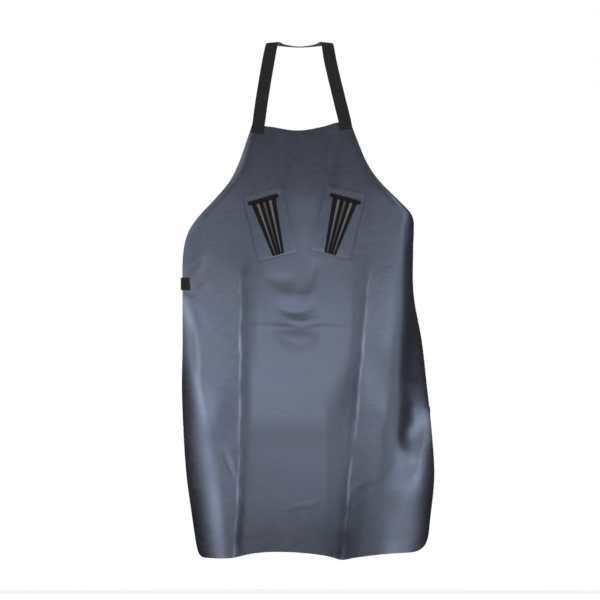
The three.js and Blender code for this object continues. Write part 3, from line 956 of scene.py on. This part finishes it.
# Operators
class APRON_OT_sheet(Operator):
    """Build the sheet of coated cloth with its creases, folds and rolled sides"""

    bl_idname = "apron.sheet"
    bl_label = "Apron sheet"

    roll_steps, panel_steps, middle_steps, row_steps = 24, 36, 84, 236
    flat_size = (0.72, 1.045)
    flat_area = 0.64

    def execute(self, context):
        columns = sheet_columns(self.roll_steps, self.panel_steps, self.middle_steps)
        lines, drops = [], []
        for zone, share in columns:
            top = TOP_EDGE.at("drop", sheet_point(zone, share, TOP_DROP)[0])
            hem = HEM.at("drop", sheet_point(zone, share, HEM_DROP)[0]) - corner_rise(zone, share)
            drops.append(np.linspace(top, hem, self.row_steps + 1))
            lines.append(sheet_point(zone, share, drops[-1]))
        points = np.array(lines).transpose(1, 0, 2)
        drops = np.array(drops).T
        finishes = [finish_once(make) for make in (coated_cloth, cloth_backing, cut_edge)]
        made = add_grid("apron_sheet", points, finishes)
        for shade in (self.crease_wear, self.fold_shade, self.hip_dull):
            paint_points(made, shade.__name__, shade(points[..., 0], drops))
        thick = context.scene.apron_sizes.cloth
        apply_modifier(
            made, "SOLIDIFY", thickness=thick, offset=-1, material_offset=1, material_offset_rim=2)
        smooth_by_angle(made, 55)
        seat(made, "cloth", "apron_body")
        return {"FINISHED"}

    # Wear along the packing creases, with a painted highlight on their ridges
    @staticmethod
    def crease_wear(x, drop):
        line = sum(near(x - crease_line(side, drop), WEAR_AND_HIGHLIGHT_REACH) for side in SIDES)
        return line * np.clip(CREASES.at("ridge", drop), 0, 1) * crease_break(drop)

    @staticmethod
    def fold_shade(x, drop):
        """Painted shade: darker on the bib, along the hip, at the right crease's foot and at bends and
        edges.
        """
        bib, hip, foot, edge, bend = SHADES.values()
        dark = bib["depth"] * fade(bib["end"] - drop, bib["fade"])
        sunk = fade(HIP.at("depth", drop), hip["full_depth"])
        dark = dark + near(x - HIP.at("x", drop), hip["reach"]) * sunk
        low = foot["depth"] * fade(drop - foot["start"], foot["fade"])
        dark = dark + near(x - CREASES.at("right", drop), foot["reach"]) * low
        bent = fade(drop - bend["start"], bend["fade"]) * (bend["depth"] - crease_break(drop))
        for side in SIDES:
            turned = fade(ROLLS[side].at("turn", drop) - edge["start_turn"], edge["fade"])
            dark = dark + near(x - OUTLINE.at(side, drop), edge["reach"]) * turned
            inside = crease_line(side, drop) - signed(side) * bend["inset"]
            dark = dark + near(x - inside, bend["reach"]) * bent
        return np.clip(dark, 0, 1)

    @staticmethod
    def hip_dull(x, drop):
        """Rubbed dull where the cloth turns over the hip, and along the dulled strokes."""
        brow, slope, past, span, spared = HIP_DULL.values()
        reach, depth = HIP.at("reach", drop), HIP.at("depth", drop)
        offset = (x - HIP.at("x", drop)) / reach
        steepness = depth / reach / 2 / np.cosh(offset) ** 2
        opened = (drop - past["open_at"]) / past["fade"]
        turned = near(steepness - slope["steepness"], slope["reach"])
        turned = turned * np.clip(past["ahead"] - past["pace"] * offset + opened, 0, 1)
        turned = turned * fade(drop - span["start"], span["fade"]) * fade(span["end"] - drop, span["fade"])
        turned = turned * (1 - spared["depth"] * fade(drop - spared["start"], spared["fade"]))
        on_brow = near((offset + brow["ahead"]) * reach, brow["reach"]) * fade(depth, brow["full_depth"])
        return np.clip(on_brow + turned + fold_relief(DULLED, x, drop), 0, 1)


class APRON_OT_patches(Operator):
    """Build the two chest patches with their sewn edges"""

    bl_idname = "apron.patches"
    bl_label = "Chest patches"

    steps = (54, 84)

    def execute(self, context):
        thick = size_mm("patch")
        half_width, half_height = PATCH["width"] / 2, PATCH["height"] / 2
        across, down = np.meshgrid(
            np.linspace(-half_width, half_width, self.steps[0] + 1),
            np.linspace(-half_height, half_height, self.steps[1] + 1),
        )
        finishes = [finish_once(make) for make in (coated_cloth, cut_edge)]
        for side in SIDES:
            lift = self.lift(across, down, thick)
            points = chest_point(side, PATCH["centres"][side], PATCH["tilt"], across, down, lift)
            made = add_grid(f"chest_patch_{side}", points, finishes)
            paint_points(made, "fold_shade", PATCH_SEAM["shade"] * self.seam_share(across, down))
            apply_modifier(made, "SOLIDIFY", thickness=thick * MM, offset=-1, material_offset_rim=1)
            smooth_by_angle(made, 55)
            seat(made, "patch_cloth", f"pocket_patch_{side}")
            thread = stitches(f"patch_stitches_{side}", [self.seam(side, thick)])
            seat(thread, "patch_cloth")
        return {"FINISHED"}

    @staticmethod
    def edge_gap(across, down):
        return np.minimum(PATCH["width"] / 2 - np.abs(across), PATCH["height"] / 2 - np.abs(down))

    def seam_share(self, across, down):
        """1 on the seam and fading to 0 away from it."""
        gap = self.edge_gap(across, down) - PATCH_SEAM["inset"]
        return near(gap, PATCH_SEAM["reach"])

    def lift(self, across, down, thick):
        """The patch lies down along its seam, puckers there and rises a little inside."""
        share = self.seam_share(across, down)
        inside = np.where(self.edge_gap(across, down) > PATCH_SEAM["inset"], 1, PATCH_PUFF["edge_share"])
        puff = PATCH_PUFF["inside"] * inside * (1 - share)
        pucker = np.sin(2 * np.pi * (across + down) / PATCH_PUFF["pitch"]) * share
        return SEAT_GAP + thick + puff + PATCH_PUFF["pucker"] * pucker

    def seam(self, side, thick):
        half_width = PATCH["width"] / 2 - PATCH_SEAM["inset"]
        half_height = PATCH["height"] / 2 - PATCH_SEAM["inset"]
        corners = np.array([[-1, -1], [1, -1], [1, 1], [-1, 1], [-1, -1]]) * (half_width, half_height)
        shares = spread(PATCH_SEAM["steps"])[:-1, None]
        runs = [start + (end - start) * shares for start, end in zip(corners[:-1], corners[1:])]
        line = np.concatenate([*runs, corners[-1:]])
        across, down = line.T
        lift = self.lift(across, down, thick)
        points = chest_point(side, PATCH["centres"][side], PATCH["tilt"], across, down, lift)
        return points, face_normal(points[:, 0], CREST_Z - points[:, 2])


class APRON_OT_sheaths(Operator):
    """Model one knife sheath flat and lay a copy on each patch"""

    bl_idname = "apron.sheaths"
    bl_label = "Knife sheaths"

    voxel = 0.0009

    def execute(self, context):
        flat = self.model()
        coordinates = np.zeros(len(flat.data.vertices) * 3)
        flat.data.vertices.foreach_get("co", coordinates)
        across, inward, up = coordinates.reshape(-1, 3).T / MM
        base = 2 * SEAT_GAP + size_mm("patch")
        for side in SIDES:
            made = bpy.data.objects.new(f"sheath_{side}", flat.data.copy())
            context.collection.objects.link(made)
            points = chest_point(side, SHEATH["mouths"][side], SHEATH["tilt"], across, -up, base - inward)
            made.data.vertices.foreach_set("co", (points * MM).ravel())
            made.data.update()
            paint_points(made, "rib_rub", self.rib_rub(across, -inward, -up))
            made.data.materials.append(finish_once(moulded_rubber))
            seat(made, "sheath", f"knife_sheath_{side}")
        bpy.data.objects.remove(flat)
        return {"FINISHED"}

    @staticmethod
    def rib_rub(across, front, down):
        """The painted highlight by how far a point stands on a rib, from 0 on the plain front to 1 on the
        crest of an outer rib.
        """
        rub = SHEATH["rub"]
        plain, half = (
            np.interp(down, (0, SHEATH["length"]), (SHEATH["mouth"][name], SHEATH["foot"][name]))
            for name in ("depth", "half_width")
        )
        # Less painted highlight just under the lip and on the middle rib
        below_lip = np.clip((down - SHEATH["lip"]["height"]) / rub["lip_fade"], rub["lip_least"], 1)
        spared = 1 - rub["middle_dimmed"] * near(across / half - SHEATH["ribs"][1], rub["middle_reach"])
        return fade(front - plain, rub["crest"] * SHEATH["rib_height"]) * below_lip * spared

    def model(self):
        """The sheath upright at the origin: its back lies on y 0, it faces -Y and its mouth is at z 0."""
        lip, mouth, foot = SHEATH["lip"], SHEATH["mouth"], SHEATH["foot"]
        body = self.block(mouth, foot, 0, lip["height"] / 2, SHEATH["length"])
        for rib in SHEATH["ribs"]:
            combine(body, self.rib(rib), "UNION")
        bar = self.block(lip, lip, 0, 0, lip["height"])
        choose(bar)
        bpy.ops.object.mode_set(mode="EDIT")
        bpy.ops.mesh.select_all(action="SELECT")
        bpy.ops.mesh.bevel(offset=lip["bevel"] * MM, segments=4, affect="EDGES")
        bpy.ops.object.mode_set(mode="OBJECT")
        combine(body, bar, "UNION")
        wall, floor = SHEATH["wall"], SHEATH["length"] - SHEATH["floor"]
        inner = ({name: size - wall for name, size in end.items()} for end in (mouth, foot))
        combine(body, self.block(*inner, wall, -SHEATH["mouth_cut"], floor), "DIFFERENCE")
        apply_modifier(body, "REMESH", mode="VOXEL", voxel_size=self.voxel, adaptivity=0)
        apply_modifier(body, "SMOOTH", factor=0.5, iterations=6)
        choose(body)
        bpy.ops.object.shade_smooth()
        return body

    @staticmethod
    def block(top, bottom, back, start, end):
        """A tapered block that hangs down from start to end, with its back at the given distance."""
        height, middle = (end - start) * MM, -(start + end) / 2 * MM
        made = add_primitive("cube", "sheath_block", size=1)
        bpy.ops.object.mode_set(mode="EDIT")
        bpy.ops.transform.resize(value=(1, 1, height))
        bpy.ops.transform.translate(value=(0, 0, middle))
        bpy.ops.object.mode_set(mode="OBJECT")
        for point in made.data.vertices:
            end_size = top if point.co.z > middle else bottom
            point.co.x = math.copysign(end_size["half_width"], point.co.x) * MM
            point.co.y = -(end_size["depth"] if point.co.y < 0 else back) * MM
        return made

    @staticmethod
    def rib(share):
        """A half-round rib that follows the fan of the sheath's front."""
        mouth, foot = SHEATH["mouth"], SHEATH["foot"]
        length = (SHEATH["length"] - SHEATH["rib_short"]) * MM
        middle = (0, 0, -length / 2)
        made = add_primitive("cylinder", "sheath_rib", middle, vertices=28, radius=1, depth=length)
        for point in made.data.vertices:
            end = mouth if point.co.z > -length / 2 else foot
            thin = 1 if end is mouth else SHEATH["rib_foot"]
            point.co.x = (share + point.co.x * SHEATH["rib_half_width"]) * end["half_width"] * MM
            point.co.y = (point.co.y * SHEATH["rib_height"] * thin - end["depth"]) * MM
        return made


class APRON_OT_neck_strap(Operator):
    """Build the neck strap and the stitching at its ends"""

    bl_idname = "apron.neck_strap"
    bl_label = "Neck strap"

    steps, sewn_stops, nudge_steps = 26, 2, 0.25

    def execute(self, context):
        half_thick = size_mm("webbing") / 2
        left, right = (self.half(side, SEAT_GAP + half_thick) for side in SIDES)
        nape_normal = self.aim(NAPE_LEAN, 0, 1)
        route = [*left, (nape_normal * half_thick, nape_normal), *right[::-1]]
        shares = spread((len(route) - 1) * self.steps)
        nudge = self.nudge_steps / (len(shares) - 1)
        stops = [stop for stop, _ in route]
        middles = smooth_path(stops, shares)
        ahead = smooth_path(stops, np.minimum(shares + nudge, 1))
        behind = smooth_path(stops, np.maximum(shares - nudge, 0))
        tangents = unit(ahead - behind)
        facing = unit(smooth_path([normal for _, normal in route], shares))
        widths = unit(np.cross(facing, tangents))
        normals = unit(np.cross(tangents, widths))
        made = webbing("neck_webbing", middles, widths, normals)
        seat(made, "webbing", "neck_strap")
        sewn = self.sewn_stops * self.steps
        seams = []
        for end in (slice(0, sewn + 1), slice(-1, -sewn - 2, -1)):
            seams += box_seams(middles[end], widths[end], normals[end])
        seat(stitches("neck_stitches", seams), "webbing")
        return {"FINISHED"}

    @staticmethod
    def aim(lean, splay, sign):
        lean, splay = math.radians(lean), math.radians(splay)
        level = math.cos(splay)
        return np.array([sign * math.sin(splay), -math.cos(lean) * level, math.sin(lean) * level])

    def half(self, side, lift):
        """Stops from the sewn end on the bib up to the nape, each with the strap's outward normal."""
        end, edge = (np.array(place, float) for place in NECK_ENDS[side])
        stops = []
        for share in spread(self.sewn_stops):
            x, drop = end + (edge - end) * share
            normal = face_normal(x, drop)
            stops.append((face_point(x, drop) + normal * lift, normal))
        for row in NECK.rows:
            named = dict(zip(NECK.names, row))
            place = np.array([named[side], named["y"], CREST_Z - named["drop"]])
            stops.append((place, self.aim(named["lean"], named["splay"], signed(side))))
        return stops


def box_seams(middles, widths, normals):
    """A stitched box with a cross on a strap's sewn end, over the given stations."""
    inset, steps = 3.0, 12
    lengths = run_lengths(middles)
    start, end, side = inset, lengths[-1] - inset, size_mm("webbing_width") / 2 - inset
    corners = np.array([(start, -side), (start, side), (end, side), (end, -side)])
    seams = []
    for first, second in ((0, 1), (1, 2), (2, 3), (3, 0), (0, 2), (1, 3)):
        along, aside = (corners[first] + (corners[second] - corners[first]) * spread(steps)[:, None]).T
        middle, width, normal = (read_along(along, lengths, part) for part in (middles, widths, normals))
        seams.append((middle + width * aside[:, None] + normal * size_mm("webbing") / 2, normal))
    return seams


class APRON_OT_belt(Operator):
    """Build both halves of the waist belt and the stitching that holds them"""

    bl_idname = "apron.belt"
    bl_label = "Waist belt"

    sewn_steps, wrap_steps, free_steps = 12, 8, 90
    facing_out = 0.7

    def execute(self, context):
        half, lift = size_mm("webbing_width") / 2, SEAT_GAP + size_mm("webbing") / 2
        upright = np.array([0, 0, 1.0])
        for side in SIDES:
            sewn = self.sewn(side, half, lift)
            held = np.vstack([sewn, self.wrap(side, sewn, half, lift)]) if side == "left" else sewn
            level = CREST_Z - WAIST_DROP
            mouth = BUCKLE["length"] / 2 + BUCKLE["slot_play"]
            ends = [(signed(side) * x, BUCKLE["y"]) for x in (mouth, mouth - BUCKLE["slot_depth"])]
            stops = [held[-1]] + [(x, y, level) for x, y in (*BELTS[side], *ends)]
            middles = np.vstack([held, smooth_path(stops, spread(self.free_steps))[1:]])
            tangents = unit(np.gradient(middles, axis=0))
            widths = np.broadcast_to(upright, middles.shape)
            normals = unit(np.cross(tangents, widths))
            made = webbing(f"belt_{side}", middles, widths, normals * signed(side) * -1)
            seat(made, "webbing", f"waist_strap_{side}")
            part = slice(0, len(sewn))
            outward = normals[part] * self.outward(side, normals[0])
            seams = box_seams(middles[part], widths[part], outward)
            seat(stitches(f"belt_stitches_{side}", seams), "webbing")
        return {"FINISHED"}

    def outward(self, side, normal):
        """1 where the normal leaves the apron's outer face, and -1 where it points into it."""
        return 1 if normal[1] < 0 or normal[0] * signed(side) > self.facing_out else -1

    @staticmethod
    def edge_normal(side, share):
        """The level outward normal of a rolled side at the waist."""
        nudge = 0.02
        nudged = (np.clip(share + step, 0, 1) for step in (nudge, -nudge))
        ahead, behind = (roll_point(side, place, WAIST_DROP) for place in nudged)
        up = roll_point(side, share, WAIST_DROP - 1) - roll_point(side, share, WAIST_DROP + 1)
        normal = np.cross(ahead - behind, up) * signed(side)
        normal[2] = 0
        return unit(normal)

    def rises(self, side, share, half):
        """How far the cloth under the belt's upper edge, middle and lower edge stands out."""
        middle, normal = roll_point(side, share, WAIST_DROP), self.edge_normal(side, share)
        levels = (WAIST_DROP - half, WAIST_DROP, WAIST_DROP + half)
        return [(roll_point(side, share, level) - middle) @ normal for level in levels]

    def sewn(self, side, half, lift):
        shares = BELT_SEWN_FROM[side] + (1 - BELT_SEWN_FROM[side]) * spread(self.sewn_steps)
        return np.array([
            roll_point(side, share, WAIST_DROP)
            + self.edge_normal(side, share) * (lift + max(self.rises(side, share, half)))
            for share in shares
        ])

    def wrap(self, side, sewn, half, lift):
        """The half turn round the cut edge, from the outer face to the inner one."""
        onward = unit(sewn[-1] - sewn[-2])
        inward = -self.edge_normal(side, 1)
        rises = self.rises(side, 1, half)
        radius = lift + (size_mm("cloth") + max(rises) - min(rises)) / 2
        angles = np.pi * spread(self.wrap_steps)[1:, None]
        past_edge = radius * np.sin(angles) + SEAT_GAP
        return sewn[-1] + onward * past_edge + inward * radius * (1 - np.cos(angles))


class APRON_OT_buckle(Operator):
    """Model the clasp that joins the belt at the back"""

    bl_idname = "apron.buckle"
    bl_label = "Belt buckle"

    def execute(self, context):
        length, height, thick = (BUCKLE[name] * MM for name in ("length", "height", "thick"))
        rim, frame_width, step = (BUCKLE_FACE[name] * MM for name in ("rim", "frame", "step"))
        made = add_primitive("cube", "belt_buckle", size=1)
        bpy.ops.object.mode_set(mode="EDIT")
        bpy.ops.transform.resize(value=(length, thick, height))
        self.pick(made, edges=lambda edge: abs((edge.verts[0].co - edge.verts[1].co).y) > thick / 2)
        bpy.ops.mesh.bevel(offset=BUCKLE["corner"] * MM, segments=6, affect="EDGES")
        self.pick(made, faces=self.faces_out)
        bpy.ops.mesh.inset(thickness=rim, use_individual=True)
        bpy.ops.transform.resize(value=(1, BUCKLE_FACE["crown"], 1))
        self.pick(made, faces=self.faces_out)
        bpy.ops.mesh.inset(thickness=frame_width, use_individual=True)
        bpy.ops.mesh.inset(thickness=step, depth=-step, use_individual=True)
        bpy.ops.object.mode_set(mode="OBJECT")
        for side in SIDES:
            combine(made, self.slot(side), "DIFFERENCE")
        for number in BUCKLE_RIDGES["places"]:
            combine(made, self.ridge(number), "UNION")
        apply_modifier(made, "BEVEL", width=BUCKLE_FACE["bevel"] * MM, segments=2, limit_method="ANGLE")
        face_outwards(made)
        smooth_by_angle(made, 40)
        choose(made)
        made.location = (0, BUCKLE["y"] * MM, (CREST_Z - WAIST_DROP) * MM)
        bpy.ops.object.transform_apply(location=True)
        made.data.materials.append(finish_once(moulded_plastic))
        seat(made, "buckle", "waist_buckle")
        return {"FINISHED"}

    @staticmethod
    def faces_out(face):
        return abs(face.normal.y) > 0.9

    @staticmethod
    def pick(made, faces=None, edges=None):
        """Selects in edit mode the faces or edges that a test takes."""
        bpy.ops.mesh.select_mode(type="FACE" if faces else "EDGE")
        bpy.ops.mesh.select_all(action="DESELECT")
        shell = bmesh.from_edit_mesh(made.data)
        for part in shell.faces if faces else shell.edges:
            part.select_set((faces or edges)(part))
        bmesh.update_edit_mesh(made.data)

    @staticmethod
    def slot(side):
        """A block the size of the belt's end with play all round, at one end of the buckle."""
        play = 2 * BUCKLE["slot_play"]
        size = (2 * BUCKLE["slot_depth"], size_mm("webbing") + play, size_mm("webbing_width") + play)
        place = (signed(side) * BUCKLE["length"] / 2 * MM, 0, 0)
        return add_primitive("cube", "belt_slot", place, size=1, scale=[part * MM for part in size])

    @staticmethod
    def ridge(number):
        """A grip ridge across the outer face."""
        pitch, radius, length, sunk = (
            BUCKLE_RIDGES[name] * MM for name in ("pitch", "radius", "length", "sunk"))
        place = (number * pitch, BUCKLE["thick"] / 2 * MM - sunk, 0)
        return add_primitive("cylinder", "buckle_ridge", place, vertices=16, radius=radius, depth=length)


class APRON_OT_stage(Operator):
    """Set the floor, the light and the camera"""

    bl_idname = "apron.stage"
    bl_label = "Stage"

    face_y = -0.2
    sensor = 36.0

    # Light panels in metres: name, place from the aim, size and the property of their power
    panels = (
        ("front_panel", (0, -2.3, -0.2), (0.26, 0.5), "front_power"),
        ("top_panel", (0, -2.6, 1.9), (1.6, 0.5), "top_power"),
        ("back_panel", (0, 2.6, 0.4), (1.6, 1.6), "back_power"),
        ("left_fill", (-1.3, -2.25, -0.1), (0.5, 0.9), "fill_power"),
        ("left_panel", (-2.95, -1.2, 0.3), (0.6, 3.0), "side_power"),
        ("right_fill", (1.3, -2.25, -0.1), (0.5, 0.9), "fill_power"),
        ("right_panel", (2.95, -1.2, 0.3), (0.6, 3.0), "side_power"),
    )

    def execute(self, context):
        studio = context.scene.apron_studio
        self.floor(CAD_BOX[0][2] - studio.floor_gap)
        aim = Vector((0, self.face_y, studio.eye_level))
        for name, offset, size, power in self.panels:
            self.panel(name, aim, Vector(offset), size, getattr(studio, power))
        self.room(studio.room)
        camera = bpy.data.cameras.new("photo_camera")
        camera.sensor_width = self.sensor
        camera.lens = self.sensor * studio.distance / studio.field
        camera.clip_end = 100
        made = bpy.data.objects.new("photo_camera", camera)
        made.location = aim + Vector((0, -studio.distance, 0))
        made.rotation_euler = (math.pi / 2, 0, 0)
        context.collection.objects.link(made)
        context.scene.camera = made
        context.scene.view_settings.view_transform = "Standard"
        return {"FINISHED"}

    @staticmethod
    def floor(level):
        made = add_primitive("circle", "floor", (0, 0, level), vertices=96, radius=3.0, fill_type="NGON")
        finish = Finish("pale_floor", specular_ior_level=0.0, emission_strength=0.8)
        finish.shader.inputs["Emission Color"].default_value = (1.0, 1.0, 1.0, 1.0)
        grain = finish.noise(finish.object_place(), 40.0, 3.0)
        tone = finish.blend(grain, (0.86, 0.86, 0.86), (0.92, 0.92, 0.92))
        made.data.materials.append(finish.paint(tone, 0.9 + 0.05 * grain, grain, 0.02, 0.001))
        made.visible_diffuse = False
        made.visible_glossy = False
        made.visible_shadow = False

    @staticmethod
    def panel(name, aim, offset, size, power):
        light = bpy.data.lights.new(name, "AREA")
        light.shape = "RECTANGLE"
        light.size, light.size_y = size
        light.energy = power
        made = bpy.data.objects.new(name, light)
        made.location = aim + offset
        made.rotation_euler = (-offset).to_track_quat("-Z", "Y").to_euler()
        made.visible_camera = False
        bpy.context.collection.objects.link(made)

    @staticmethod
    def room(strength):
        """A white backdrop for the camera and a dim room for the apron."""
        world = bpy.data.worlds.new("studio_room")
        world.use_nodes = True
        tree = world.node_tree
        dim = tree.nodes["Background"]
        dim.inputs["Color"].default_value = (1.0, 0.92, 0.96, 1.0)
        dim.inputs["Strength"].default_value = strength
        white = tree.nodes.new("ShaderNodeBackground")
        white.inputs["Color"].default_value = (1.0, 1.0, 1.0, 1.0)
        seen = tree.nodes.new("ShaderNodeLightPath")
        mix = tree.nodes.new("ShaderNodeMixShader")
        tree.links.new(seen.outputs["Is Camera Ray"], mix.inputs["Fac"])
        tree.links.new(dim.outputs["Background"], mix.inputs[1])
        tree.links.new(white.outputs["Background"], mix.inputs[2])
        tree.links.new(mix.outputs["Shader"], tree.nodes["World Output"].inputs["Surface"])
        bpy.context.scene.world = world


class APRON_PT_build(Panel):
    """The apron's sizes, colours and building steps"""

    bl_idname = "APRON_PT_build"
    bl_label = "Hoof trimming apron"
    bl_space_type = "VIEW_3D"
    bl_region_type = "UI"
    bl_category = "Apron"

    def draw(self, context):
        for group in (context.scene.apron_sizes, context.scene.apron_colours, context.scene.apron_studio):
            box = self.layout.box()
            for name in group.__annotations__:
                box.prop(group, name)
        for operator in OPERATORS:
            self.layout.operator(operator.bl_idname)


GROUPS = {"apron_sizes": ApronSizes, "apron_colours": ApronColours, "apron_studio": ApronStudio}
OPERATORS = (
    APRON_OT_stage,
    APRON_OT_sheet,
    APRON_OT_patches,
    APRON_OT_sheaths,
    APRON_OT_neck_strap,
    APRON_OT_belt,
    APRON_OT_buckle,
)


def register():
    for name, group in GROUPS.items():
        bpy.utils.register_class(group)
        setattr(bpy.types.Scene, name, PointerProperty(type=group))
    for operator in OPERATORS:
        bpy.utils.register_class(operator)
    bpy.utils.register_class(APRON_PT_build)


def unregister():
    bpy.utils.unregister_class(APRON_PT_build)
    for operator in reversed(OPERATORS):
        bpy.utils.unregister_class(operator)
    for name, group in GROUPS.items():
        delattr(bpy.types.Scene, name)
        bpy.utils.unregister_class(group)


def main():
    register()
    for operator in OPERATORS:
        group, name = operator.bl_idname.split(".")
        getattr(getattr(bpy.ops, group), name)()


if __name__ == "__main__":
    main()
